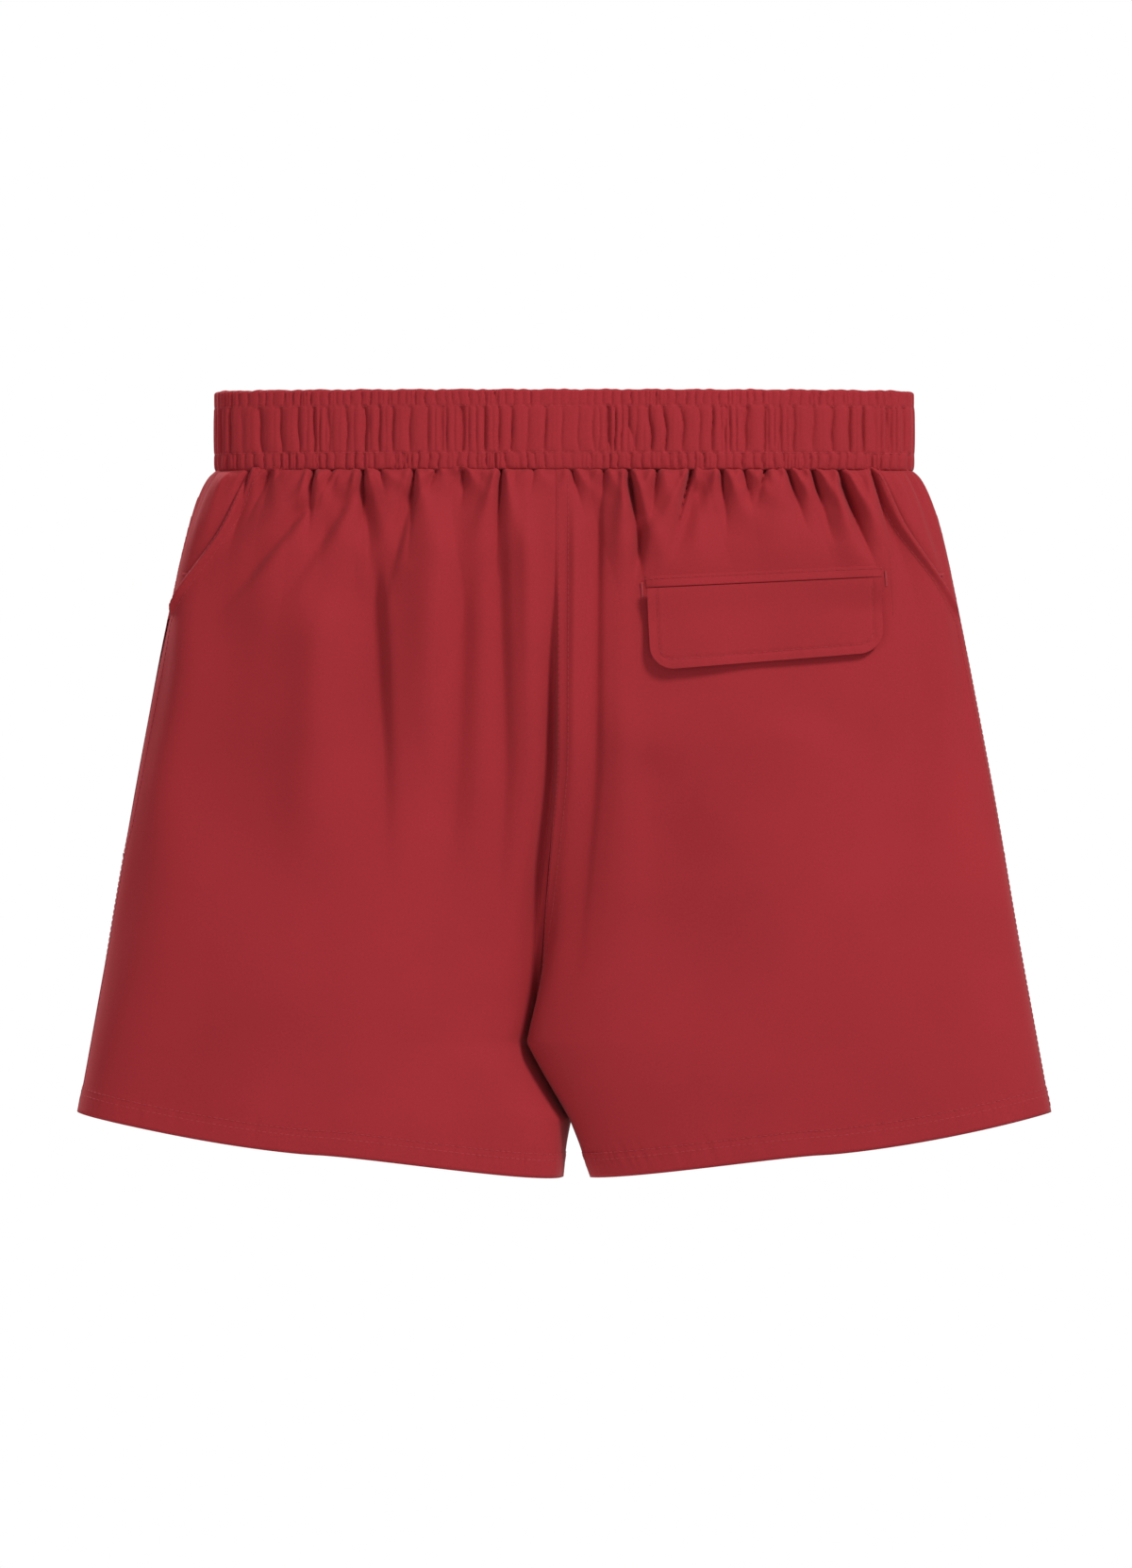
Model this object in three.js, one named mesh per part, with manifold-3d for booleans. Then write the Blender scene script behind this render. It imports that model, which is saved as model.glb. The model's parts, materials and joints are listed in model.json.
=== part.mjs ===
// Woven shorts with an elastic waistband, two side-seam pockets and one rear pocket under a flap.
// Millimetres, +Z up. The shorts hang from the waist: the origin is the middle of the waist opening,
// level with the waistband's top rim. The wearer faces +Y, so the back faces -Y and the wearer's
// right leg is at +X. Cloth plies are drawn thicker than real cloth, and sewn plies lie `seam` apart.
import * as THREE from "three";
import { mergeVertices } from "three/addons/utils/BufferGeometryUtils.js";
import Module from "manifold-3d";

const wasm = await Module();
wasm.setup();

// ---------------------------------------------------------------- driving dimensions
const seam = 0.3; // gap between two plies or pieces that are sewn together
const cloth = 1.0; // ply thickness of the shell cloth
const lining = 0.8; // ply thickness of the pocket cloth

const band = {
  halfWidth: 184.5,
  halfDepth: 36,
  height: 43,
  elastic: 1.6, // thickness of the elastic
  elasticInset: 0.6, // how far the elastic stops above the casing's open lower edge
  tunnel: 1.8, // room between the elastic and the outer ply, where a drawcord would run
  sides: 96, // straight steps round the oval
};

const body = {
  sideWidth: 193.3, // half width of the straight side line, carried up to the waistband seam
  hemWidth: 257.5, // half width of the straight side line at the side of the hem
  shoulder: 18, // how fast the side leaves the waistband for that line
  halfDepth: 42,
  bellyDrop: 45, // how far below the waistband the full depth is reached
  sideLength: 338, // waistband to hem at the side
  innerLength: 373.5, // waistband to hem at the inseam
  hemCurve: 1.7,
  splitStart: 165, // below the rim: where the legs begin to part
  crotch: 345, // below the rim
  legsPart: 385, // below the rim: where the legs' inner sides leave each other
  legGap: 15, // between the legs at the hem
  fullness: 2.5, // 2 makes every cross section an ellipse, more makes it squarer
  // The centre line's x at the crotch seam's start, the crotch, the legs' parting and the hem.
  centre: [-4, -19, 3.5, 7],
};

const sideSeam = { wrap: 19, drop: 80, curve: 2.5, ease: 1.3 }; // near the top it lies on the back
const mouth = { top: 98, bottom: 246, taper: 20, gap: 10 }; // side pocket mouths, below the rim
const sideBag = { top: 98, height: 166, depth: 118, inset: 1.8, corner: 2.8, gap: 8.4 };
const facing = { reach: 0.375, down: [0.1, 0.9] }; // the bag's strip of shell cloth, as shares of it

const rearPocket = {
  x: 105, // middle of the flap's hinge line
  drop: 104, // below the rim
  tilt: 2.8, // degrees, up towards the side
  slitWidth: 104,
  slitTop: 2, // below the hinge line
  slitHeight: 9,
  bagWidth: 124,
  bagAbove: 12, // how far the bag's inner ply reaches above the hinge line
  bagDepth: 122, // below the hinge line
  bagGap: 10,
  bagHang: 1.5, // how far the bag's lower end hangs off the panel
  weltHeight: 8,
  tackClear: 4, // from the flap's end to the middle of the bar tack
};
const tack = { length: 9, width: 2, thick: 0.8 }; // a bar tack at a pocket mouth's end
const flap = { width: 124, height: 40, corner: 12, ply: 0.8, rise: 4, under: 1.2, inset: 0.8 };
const eyelet = { x: 22, hole: 2, wall: 0.6, rim: 4.4, flange: 0.6 };

// How finely the curved plies are divided: across and down.
const fine = {
  panel: [18, 18],
  frontPanel: [20, 18],
  rowEase: 1.35, // above 1, the panels' rows lie closer together near the waistband
  bag: [8, 10],
  facing: [3, 8],
  strip: [12, 2],
  rear: [10, 10],
};

// ---------------------------------------------------------------- small helpers
const { lerp, clamp, smoothstep, degToRad } = THREE.MathUtils;
const RIGHT = 1;
const LEFT = -1;
const BACK = 1;
const FRONT = -1;

// 0 at both ends of 0..1 and close to 1 between them; a higher power gives steeper ends.
const plateau = (t, power) => 1 - Math.abs(2 * t - 1) ** power;

// How far t has gone from the first of two marks to the second, 0 to 1.
const share = (t, from, to) => clamp((t - from) / (to - from), 0, 1);

// A closed box of across x down x 1 cells whose points are moved to place(u, v, w), each 0..1.
function bent([across, down], place) {
  const box = new THREE.BoxGeometry(1, 1, 1, across, down, 1);
  box.deleteAttribute("normal");
  box.deleteAttribute("uv");
  const geometry = mergeVertices(box);
  const points = geometry.attributes.position;
  for (let i = 0; i < points.count; i++) {
    const p = place(points.getX(i) + 0.5, 0.5 - points.getY(i), points.getZ(i) + 0.5);
    points.setXYZ(i, p.x, p.y, p.z);
  }
  return facingOut(geometry);
}

// Six times the volume inside a closed indexed geometry, negative if its faces point inwards.
function signedVolume(geometry) {
  const points = geometry.attributes.position;
  const corners = [0, 1, 2].map(() => new THREE.Vector3());
  let sum = 0;
  for (let i = 0; i < geometry.index.count; i += 3) {
    corners.forEach((corner, k) => corner.fromBufferAttribute(points, geometry.index.getX(i + k)));
    sum += corners[0].dot(corners[1].cross(corners[2]));
  }
  return sum;
}

function facingOut(geometry) {
  if (signedVolume(geometry) < 0) {
    const index = geometry.index.array;
    for (let i = 0; i < index.length; i += 3) [index[i], index[i + 1]] = [index[i + 1], index[i]];
  }
  return geometry;
}

function toSolid(geometry, matrix = new THREE.Matrix4()) {
  const copy = geometry.clone().applyMatrix4(matrix);
  copy.deleteAttribute("normal");
  copy.deleteAttribute("uv");
  const merged = facingOut(mergeVertices(copy, 1e-4));
  const mesh = new wasm.Mesh({
    numProp: 3,
    vertProperties: merged.attributes.position.array,
    triVerts: new Uint32Array(merged.index.array),
  });
  return new wasm.Manifold(mesh);
}

function toGeometry(solid) {
  const mesh = solid.getMesh();
  return new THREE.BufferGeometry()
    .setAttribute("position", new THREE.BufferAttribute(mesh.vertProperties, 3))
    .setIndex(new THREE.BufferAttribute(mesh.triVerts, 1));
}

// ---------------------------------------------------------------- the hanging shape
const belowBand = (z) => clamp((-band.height - z) / body.sideLength, 0, 1.2);

function sideX(z) {
  const line = lerp(body.sideWidth, body.hemWidth, belowBand(z));
  const pull = body.sideWidth - band.halfWidth;
  return line - pull * Math.exp((z + band.height) / body.shoulder);
}

const parting = (z) => smoothstep(-z, body.splitStart, body.crotch);
const halfDepth = (z) =>
  lerp(band.halfDepth, body.halfDepth, smoothstep(-z, band.height, band.height + body.bellyDrop));

// The x at which a side ends: the centre line, or its leg's inner edge.
function innerX(side, z) {
  const [start, crotch, apart, hem] = body.centre;
  const low = band.height + body.innerLength;
  const below = share(-z, body.legsPart, low);
  const upper = lerp(start, crotch, parting(z));
  const lower = lerp(0, apart - crotch, share(-z, body.crotch, body.legsPart));
  const centre = upper + lower + below * (hem - apart);
  return centre + side * (seam / 2 + parting(z) * cloth + (below * body.legGap) / 2);
}

// The power that turns a sine or cosine into that of the squarer oval.
const squarer = (t) => Math.sign(t) * Math.abs(t) ** (2 / body.fullness);

// A point on the inside of the shell. turn is 0 at the side edge and pi at the centre line or
// inseam, positive on the back and negative on the front. Above the crotch the two sides share one
// oval; below it each leg is an oval of its own.
function skin(side, turn, z) {
  const t = Math.abs(turn);
  const split = parting(z);
  const across = lerp(1 - squarer(Math.cos(t / 2)), (1 - squarer(Math.cos(t))) / 2, split);
  const out = lerp(squarer(Math.sin(t / 2)), squarer(Math.sin(t)), split);
  const x = lerp(side * sideX(z), innerX(side, z), across);
  return new THREE.Vector3(x, -Math.sign(turn) * halfDepth(z) * out, z);
}

// The level outward direction of the shell at that point.
function outward(side, turn, z) {
  const step = 1e-3;
  const along = skin(side, turn + step, z).sub(skin(side, turn - step, z));
  return new THREE.Vector3(-side * along.y, side * along.x, 0).normalize();
}

const offShell = (side, turn, z, away) => skin(side, turn, z).addScaledVector(outward(side, turn, z), away);

// The value between two ends at which a test turns from true to false, by halving.
function halve(from, to, test) {
  let [low, high] = [from, to];
  for (let i = 0; i < 40; i++) {
    const middle = (low + high) / 2;
    if (test(middle)) low = middle;
    else high = middle;
  }
  return low;
}

// The turn at which the back of the shell crosses a given x.
const turnAt = (side, x, z) => halve(0, Math.PI, (turn) => side * (skin(side, turn, z).x - x) > 0);

// The turn that lies a distance along the shell from another one, towards larger or smaller turns.
function turnBeyond(side, from, z, distance, way) {
  const start = skin(side, from, z);
  return halve(from, from + way, (turn) => skin(side, turn, z).distanceTo(start) < distance);
}

// ---------------------------------------------------------------- front and back panels
function seamTurn(z) {
  const down = share(-z, band.height, band.height + sideSeam.drop);
  const top = turnAt(RIGHT, band.halfWidth - sideSeam.wrap, -band.height);
  return top * (1 - down ** sideSeam.curve) ** sideSeam.ease;
}

// Half the gap in the side seam: the sewn gap, or the pocket mouth's.
function halfMouth(z) {
  const open = smoothstep(-z, mouth.top, mouth.top + mouth.taper);
  const shut = smoothstep(-z, mouth.bottom - mouth.taper, mouth.bottom);
  return lerp(seam, mouth.gap, open * (1 - shut)) / 2;
}

function panel(side, face) {
  const top = -band.height - seam;
  return bent(face === BACK ? fine.panel : fine.frontPanel, (u, v, w) => {
    const down = v ** fine.rowEase;
    const sideZ = lerp(top, -band.height - body.sideLength, down);
    const start = turnBeyond(side, seamTurn(sideZ), sideZ, halfMouth(sideZ), face);
    const end = turnBeyond(side, face * Math.PI, sideZ, seam / 2, -face);
    const turn = lerp(start, end, u);
    const leg = (1 - Math.cos(turn)) / 2;
    const drop = lerp(body.innerLength, body.sideLength, (1 - leg) ** body.hemCurve);
    const z = lerp(top, -band.height - drop, down);
    return offShell(side, turn, z, w * cloth);
  });
}

// ---------------------------------------------------------------- waistband
// A point of the band's oval, which matches the shell's; grow is a distance outside it.
function bandPoint(angle, grow) {
  const x = (band.halfWidth + grow) * squarer(Math.cos(angle));
  return new THREE.Vector2(x, (band.halfDepth + grow) * squarer(Math.sin(angle)));
}

// An upright oval ring between two distances outside the band's oval.
function ovalRing(inside, outside, high, low) {
  const oval = (grow) =>
    Array.from({ length: band.sides }, (_, i) => bandPoint((2 * Math.PI * i) / band.sides, grow));
  const shape = new THREE.Shape(oval(outside));
  shape.holes.push(new THREE.Path(oval(inside)));
  const ring = new THREE.ExtrudeGeometry(shape, { depth: high - low, bevelEnabled: false });
  return ring.translate(0, 0, low);
}

// The plies' places, measured outwards from the shell line.
const outerPly = [0, cloth];
const elasticAt = [-band.tunnel - band.elastic, -band.tunnel];
const innerPly = [elasticAt[0] - seam - cloth, elasticAt[0] - seam];

// Where an eyelet sits. So near the centre line the band's front is flat.
const eyeletPlace = (side) =>
  new THREE.Matrix4().makeTranslation(side * eyelet.x, bandPoint(Math.PI / 2, 0).y, -band.height / 2);

// One strip of cloth folded over the top of the elastic: an upside-down U, open below.
function casing() {
  const whole = toSolid(ovalRing(innerPly[0], outerPly[1], 0, -band.height));
  const hollow = toSolid(ovalRing(innerPly[1], outerPly[0], -cloth, -band.height - seam));
  const holes = [LEFT, RIGHT].map((side) => {
    const radius = eyelet.hole + eyelet.wall + seam;
    const drill = new THREE.CylinderGeometry(radius, radius, band.tunnel * 2, 24);
    return toSolid(drill, eyeletPlace(side));
  });
  return toGeometry(holes.reduce((left, hole) => left.subtract(hole), whole.subtract(hollow)));
}

function elastic() {
  const low = -band.height + band.elasticInset;
  return ovalRing(elasticAt[0], elasticAt[1], -cloth - seam, low);
}

// A stitched eyelet: a short sleeve with a flange on each face of the outer ply, along Y.
function eyeletRing() {
  const { hole, wall, rim, flange } = eyelet;
  const near = cloth + seam;
  const far = -seam;
  const outline = [
    [hole, far - flange],
    [rim, far - flange],
    [rim, far],
    [hole + wall, far],
    [hole + wall, near],
    [rim, near],
    [rim, near + flange],
    [hole, near + flange],
    [hole, far - flange],
  ];
  const ring = new THREE.LatheGeometry(outline.map(([r, y]) => new THREE.Vector2(r, y)), 24);
  return toGeometry(toSolid(ring));
}

// ---------------------------------------------------------------- side pockets
// A ply of the bag that hangs inside a side pocket's mouth, or the facing sewn on it. reach and
// down are the share of the bag it covers; near and far are distances off the bag's own cloth.
function sidePly(side, face, cells, reach, down, [near, far]) {
  return bent(cells, (u, v, w) => {
    const [across, along] = [u * reach, lerp(down[0], down[1], v)];
    const z = -sideBag.top - along * sideBag.height;
    const inset = sideBag.inset + sideBag.corner * (1 - plateau(along, 6));
    const x = sideX(z) - inset - across * sideBag.depth;
    const open = plateau(along, 6) * (1 - across ** 6);
    const room = lerp(seam, sideBag.gap, open) / 2;
    return new THREE.Vector3(side * x, -face * (room + lerp(near, far, w)), z);
  });
}

const sideBagPly = (side, face) => sidePly(side, face, fine.bag, 1, [0, 1], [0, lining]);
const sideFacing = (side) =>
  sidePly(side, BACK, fine.facing, facing.reach, facing.down, [-seam - lining, -seam]);

// ---------------------------------------------------------------- rear pocket
const hinge = new THREE.Group();
{
  const turn = turnAt(RIGHT, rearPocket.x, -rearPocket.drop);
  const normal = outward(RIGHT, turn, -rearPocket.drop);
  hinge.position.copy(offShell(RIGHT, turn, -rearPocket.drop, cloth));
  hinge.rotation.set(0, -degToRad(rearPocket.tilt), Math.atan2(normal.x, -normal.y), "ZYX");
  hinge.updateMatrixWorld();
}

// A curved strip that follows the shell of the right back panel. along and up are distances from
// the middle of the hinge line; off gives the distance outside the shell at (u, v, w).
function onBack(cells, along, up, off) {
  const tilt = degToRad(rearPocket.tilt);
  return bent(cells, (u, v, w) => {
    const [a, b] = [lerp(along[0], along[1], u), lerp(up[1], up[0], v)];
    const x = rearPocket.x + a * Math.cos(tilt) - b * Math.sin(tilt);
    const z = -rearPocket.drop + a * Math.sin(tilt) + b * Math.cos(tilt);
    return offShell(RIGHT, turnAt(RIGHT, x, z), z, off(u, v, w));
  });
}

const slitLow = -rearPocket.slitTop - rearPocket.slitHeight;
const slitSides = [-rearPocket.slitWidth / 2, rearPocket.slitWidth / 2];
const bagSides = [-rearPocket.bagWidth / 2, rearPocket.bagWidth / 2];

function backPanelRight() {
  const slit = new THREE.BoxGeometry(rearPocket.slitWidth, 12 * cloth, rearPocket.slitHeight);
  slit.translate(0, 0, slitLow + rearPocket.slitHeight / 2);
  return toGeometry(toSolid(panel(RIGHT, BACK)).subtract(toSolid(slit, hinge.matrixWorld)));
}

// The flap's plies, measured outwards from the panel at the hinge line's middle.
const liningPly = [flap.under, flap.under + flap.ply];
const facePly = [liningPly[1] + seam, liningPly[1] + seam + flap.ply];
const knuckle = (facePly[1] - liningPly[0]) / 2;
const pinOff = (facePly[1] + liningPly[0]) / 2;

// The folded edge above the slit, which the flap hangs from.
function upperWelt() {
  const low = knuckle + seam;
  const up = [low, low + rearPocket.weltHeight];
  return onBack(fine.strip, bagSides, up, (u, v, w) => cloth + seam + w * cloth);
}

function lowerWelt() {
  const up = [slitLow - rearPocket.weltHeight, slitLow];
  const thick = flap.under - 2 * seam;
  return onBack(fine.strip, slitSides, up, (u, v, w) => cloth + seam + w * thick);
}

function rearBagOuter() {
  const up = [-rearPocket.bagDepth, slitLow - seam];
  return onBack(fine.rear, bagSides, up, (u, v, w) => -seam - v * rearPocket.bagHang - w * lining);
}

function rearBagInner() {
  const up = [-rearPocket.bagDepth, rearPocket.bagAbove];
  const sewn = 2 * seam + lining;
  return onBack(fine.rear, bagSides, up, (u, v, w) => {
    const open = plateau(u, 8) * plateau(v, 8);
    return -sewn - v * rearPocket.bagHang - open * rearPocket.bagGap - w * lining;
  });
}

// The dense zigzag of thread across the end of a pocket mouth.
function rearTack(end) {
  const middle = end * (flap.width / 2 + rearPocket.tackClear);
  const along = [middle - tack.width / 2, middle + tack.width / 2];
  const up = [-tack.length / 2, tack.length / 2];
  return onBack([2, 3], along, up, (u, v, w) => cloth + seam + w * tack.thick);
}

function sideTack(side, down) {
  return bent([4, 2], (u, v, w) => {
    const z = -down + tack.width * (0.5 - v);
    const across = tack.length * (u - 0.5);
    const at = turnBeyond(side, seamTurn(z), z, Math.abs(across), Math.sign(across));
    return offShell(side, at, z, cloth + seam + w * tack.thick);
  });
}

// The flap hangs in the hinge's frame: X along the fold, -Y out of the body, Z up. Its top edge is
// round about the hinge line, which lies half way through its two plies.
function flapOutline(inset) {
  const [half, low] = [flap.width / 2 - inset, -flap.height + inset];
  const rise = (flap.rise * half) / flap.width;
  const round = flap.corner;
  const shape = new THREE.Shape();
  shape.moveTo(-half, inset ? -knuckle - seam : knuckle);
  shape.lineTo(-half, low - rise + round);
  shape.quadraticCurveTo(-half, low - rise, -half + round, low - rise);
  shape.lineTo(half - round, low + rise);
  shape.quadraticCurveTo(half, low + rise, half, low + rise + round);
  shape.lineTo(half, inset ? -knuckle - seam : knuckle);
  return shape;
}

function flapPly(inset, [near, far]) {
  const options = { depth: far - near, bevelEnabled: false, curveSegments: 6 };
  return new THREE.ExtrudeGeometry(flapOutline(inset), options).rotateX(Math.PI / 2).translate(0, -near, 0);
}

function flapOuter() {
  const reach = flap.height * 2;
  const profile = new THREE.Shape();
  profile.absarc(0, 0, knuckle, 0, Math.PI, false);
  profile.lineTo(-knuckle, -reach);
  profile.lineTo(-knuckle + flap.ply, -reach);
  profile.lineTo(-knuckle + flap.ply, 0);
  const rolled = new THREE.ExtrudeGeometry(profile, { depth: flap.width, bevelEnabled: false, curveSegments: 12 });
  const toHinge = new THREE.Matrix4().makeBasis(
    new THREE.Vector3(0, 1, 0),
    new THREE.Vector3(0, 0, 1),
    new THREE.Vector3(1, 0, 0),
  );
  toHinge.setPosition(-flap.width / 2, -pinOff, 0);
  const cut = flapPly(0, [liningPly[0] - cloth, facePly[1] + cloth]);
  return toGeometry(toSolid(rolled, toHinge).intersect(toSolid(cut)));
}

// ---------------------------------------------------------------- assembly
const shorts = new THREE.Group();
const looks = {
  shell: new THREE.MeshStandardMaterial({ color: "#a5333a", roughness: 0.85, metalness: 0 }),
  pocketing: new THREE.MeshStandardMaterial({ color: "#8c2c33", roughness: 0.9, metalness: 0 }),
  elastic: new THREE.MeshStandardMaterial({ color: "#e6e2da", roughness: 0.95, metalness: 0 }),
  thread: new THREE.MeshStandardMaterial({ color: "#9c3038", roughness: 0.7, metalness: 0 }),
};

function add(name, geometry, look, parent = shorts) {
  const mesh = new THREE.Mesh(geometry, look);
  mesh.name = name;
  parent.add(mesh);
  return mesh;
}

shorts.add(hinge);
add("waistband_casing", casing(), looks.shell);
add("waistband_elastic", elastic(), looks.elastic);
add("back_panel_right", backPanelRight(), looks.shell);
add("back_panel_left", panel(LEFT, BACK), looks.shell);

for (const [side, word] of [
  [LEFT, "left"],
  [RIGHT, "right"],
]) {
  add(`front_panel_${word}`, panel(side, FRONT), looks.shell);
  add(`side_pocket_front_bag_${word}`, sideBagPly(side, FRONT), looks.pocketing);
  add(`side_pocket_back_bag_${word}`, sideBagPly(side, BACK), looks.pocketing);
  add(`side_pocket_facing_${word}`, sideFacing(side), looks.shell);
  add(`side_tack_upper_${word}`, sideTack(side, mouth.top), looks.thread);
  add(`side_tack_lower_${word}`, sideTack(side, mouth.bottom), looks.thread);
  add(`rear_tack_${word}`, rearTack(side), looks.thread);
  const ring = add(`cord_eyelet_${word}`, eyeletRing(), looks.thread);
  ring.applyMatrix4(eyeletPlace(side));
}

add("rear_pocket_upper_welt", upperWelt(), looks.shell);
add("rear_pocket_lower_welt", lowerWelt(), looks.shell);
add("rear_pocket_bag_outer", rearBagOuter(), looks.pocketing);
add("rear_pocket_bag_inner", rearBagInner(), looks.pocketing);
add("flap_outer", flapOuter(), looks.shell, hinge);
add("flap_lining", flapPly(flap.inset, liningPly), looks.shell, hinge);

export default shorts;
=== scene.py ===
"""Woven red shorts with a gathered elastic waistband and a rear flap pocket, seen from behind.

Metres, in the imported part's frame: +Z up, the back faces -Y, the wearer's right leg is at +X, and
the origin is the middle of the waist opening. The panels repeat the part's own hanging shape, with
the folds, gathers, stitches and cloth that its plain solids leave out.
"""

import json
import math

import bmesh
import bpy
import numpy as np
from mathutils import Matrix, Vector
from mathutils.kdtree import KDTree


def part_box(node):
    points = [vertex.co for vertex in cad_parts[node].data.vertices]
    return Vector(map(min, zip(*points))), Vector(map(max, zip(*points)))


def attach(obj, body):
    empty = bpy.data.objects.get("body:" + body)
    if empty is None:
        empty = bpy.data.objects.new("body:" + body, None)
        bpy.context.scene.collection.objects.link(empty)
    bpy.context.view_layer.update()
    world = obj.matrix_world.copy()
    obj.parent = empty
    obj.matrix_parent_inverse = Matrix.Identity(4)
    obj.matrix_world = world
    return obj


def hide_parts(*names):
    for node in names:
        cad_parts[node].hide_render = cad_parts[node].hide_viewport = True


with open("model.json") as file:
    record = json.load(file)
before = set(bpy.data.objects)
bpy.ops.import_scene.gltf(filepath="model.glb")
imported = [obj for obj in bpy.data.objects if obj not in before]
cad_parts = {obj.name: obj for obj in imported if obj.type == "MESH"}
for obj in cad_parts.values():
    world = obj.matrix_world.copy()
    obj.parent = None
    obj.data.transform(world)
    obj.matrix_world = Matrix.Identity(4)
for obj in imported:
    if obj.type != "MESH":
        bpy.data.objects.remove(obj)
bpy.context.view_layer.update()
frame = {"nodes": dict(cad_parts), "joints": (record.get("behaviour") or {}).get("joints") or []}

MM = 0.001
RIGHT, LEFT = 1, -1
BACK, FRONT = 1, -1

# ------------------------------------------------------------------ sizes, from the frame
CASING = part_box("waistband_casing")
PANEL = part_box("back_panel_right")
HINGE = frame["joints"][0]
PLY = 1.0 * MM  # the solids' shell ply
BAND_WIDTH = CASING[1].x - PLY  # half widths and depths
BAND_DEPTH = CASING[1].y - PLY
BAND_HEIGHT = -CASING[0].z
BODY_DEPTH = -PANEL[0].y - PLY
HEM_WIDTH = PANEL[1].x - PLY
INNER_LENGTH = -PANEL[0].z - BAND_HEIGHT

# ------------------------------------------------------------------ the hanging shape
SIDE_WIDTH = 193.3 * MM
SHOULDER = 18 * MM
BELLY_DROP = 45 * MM
SIDE_LENGTH = 339 * MM
HEM_CURVE = 1.4
SPLIT_START = 165 * MM
CROTCH = 345 * MM
LEGS_PART = 385 * MM
LEG_GAP = 15 * MM
GAP_START = 240 * MM  # the legs' inner sides leave each other from here down
CENTRE_LAP = 0.3 * MM  # above that, each side reaches this far past the centre line
CENTRE = [-4 * MM, -17 * MM, 3.5 * MM, 7 * MM]  # its x at the waist, crotch, legs' parting and hem
POWER = 2 / 2.5  # the rounding of the waist's and the legs' cross-sections
FLAT_POWER = 0.4  # the left leg stays flatter where the right one laps over it
FLAT_DROPS = (320 * MM, 360 * MM)
# The right leg leans over the left one: how steeply, how far from the centre line, from which drop
# on, and where it eases towards the hem.
LEAN = 0.5
LEAN_WIDTH = 70 * MM
LEAN_START = 190 * MM
LEAN_EASE = (350 * MM, 415 * MM)
LEAN_LOST = 0.75
# The side seam comes onto the back near the waistband: how far, down to which depth below it, and
# the two powers that bend its path.
SEAM_WRAP = 19 * MM
SEAM_DROP = 80 * MM
SEAM_CURVE = 2.5
SEAM_EASE = 1.3
MOUTH_TOP = 98 * MM
MOUTH_BOTTOM = 246 * MM
MOUTH_TAPER = 20 * MM
MOUTH_GAP = 3.6 * MM
CLOTH = 0.5 * MM  # the visual cloth's thickness
HALF_GIRTH = 205 * MM  # from the side to the centre line along the cloth
THREAD_LIFT = 0.12 * MM  # the stitches' middle lies this far above the cloth


def lerp(a, b, t):
    return a + (b - a) * t


def share(t, a, b):
    """How far t has gone from a to b, 0 to 1."""
    return np.clip((t - a) / (b - a), 0, 1)


def smooth(t, a, b):
    s = share(t, a, b)
    return s * s * (3 - 2 * s)


def squarer(t):
    return np.sign(t) * np.abs(t) ** POWER


def noise(t, seed):
    """A smooth wander of about -1 to 1 along a line."""
    total = 0
    for k in range(4):
        rate = 0.9 + 0.83 * k + 0.19 * math.sin(seed * 3.1 + k)
        total = total + np.sin(t * rate + 2.4 * seed + 1.7 * k * k) / (1 + 0.35 * k)
    return total / 2.1


def side_x(drop):
    line = lerp(SIDE_WIDTH, HEM_WIDTH, np.clip((drop - BAND_HEIGHT) / SIDE_LENGTH, 0, 1.2))
    return line - (SIDE_WIDTH - BAND_WIDTH) * np.exp(-(drop - BAND_HEIGHT) / SHOULDER)


def parting(drop):
    return smooth(drop, SPLIT_START, CROTCH)


def centre_x(drop):
    start, crotch, apart, hem = CENTRE
    upper = lerp(start, crotch, share(drop, SPLIT_START, CROTCH) ** 3)
    lower = share(drop, CROTCH, LEGS_PART) * (apart - crotch)
    return upper + lower + share(drop, LEGS_PART, BAND_HEIGHT + INNER_LENGTH) * (hem - apart)


def inner_x(side, drop):
    below = share(drop, LEGS_PART, BAND_HEIGHT + INNER_LENGTH)
    apart = smooth(drop, GAP_START, CROTCH) * PLY + below * LEG_GAP / 2
    return centre_x(drop) + side * (apart - CENTRE_LAP)


def half_depth(drop):
    return lerp(BAND_DEPTH, BODY_DEPTH, smooth(drop, BAND_HEIGHT, BAND_HEIGHT + BELLY_DROP))


def skin(side, turn, drop):
    """The shell's mean surface. turn is 0 at the side and pi at the centre line or inseam,
    positive on the back and negative on the front."""
    t = np.abs(turn)
    split = parting(drop)
    across = lerp(1 - squarer(np.cos(t / 2)), (1 - squarer(np.cos(t))) / 2, split)
    inner = smooth(t, math.pi / 2, 0.85 * math.pi) * (side < 0) * (turn > 0)
    inner = inner * smooth(drop, *FLAT_DROPS)
    leg = np.abs(np.sin(t)) ** lerp(POWER, FLAT_POWER, inner)
    out = lerp(squarer(np.sin(t / 2)), leg, split)
    x = lerp(side * side_x(drop), inner_x(side, drop), across)
    return x, -np.sign(turn) * half_depth(drop) * out


def outward(side, turn, drop):
    step = 2e-3
    x1, y1 = skin(side, turn + step, drop)
    x0, y0 = skin(side, turn - step, drop)
    length = np.maximum(np.hypot(x1 - x0, y1 - y0), 1e-12)
    return -side * (y1 - y0) / length, side * (x1 - x0) / length


def halve(low, high, test):
    """Where test turns from true to false between low and high."""
    low, high = np.broadcast_arrays(np.array(low, float), np.array(high, float))
    low, high = low.copy(), high.copy()
    for _ in range(30):
        middle = (low + high) / 2
        yes = test(middle)
        low = np.where(yes, middle, low)
        high = np.where(yes, high, middle)
    return low


def turn_at(side, x, drop):
    zero = np.zeros(np.broadcast(x, drop).shape)
    return halve(zero, zero + math.pi, lambda t: side * (skin(side, t, drop)[0] - x) > 0)


def turn_beyond(side, start, drop, distance, way):
    x0, y0 = skin(side, start, drop)

    def nearer(turn):
        x, y = skin(side, turn, drop)
        return np.hypot(x - x0, y - y0) < distance

    return halve(start, start + way, nearer)


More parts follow.
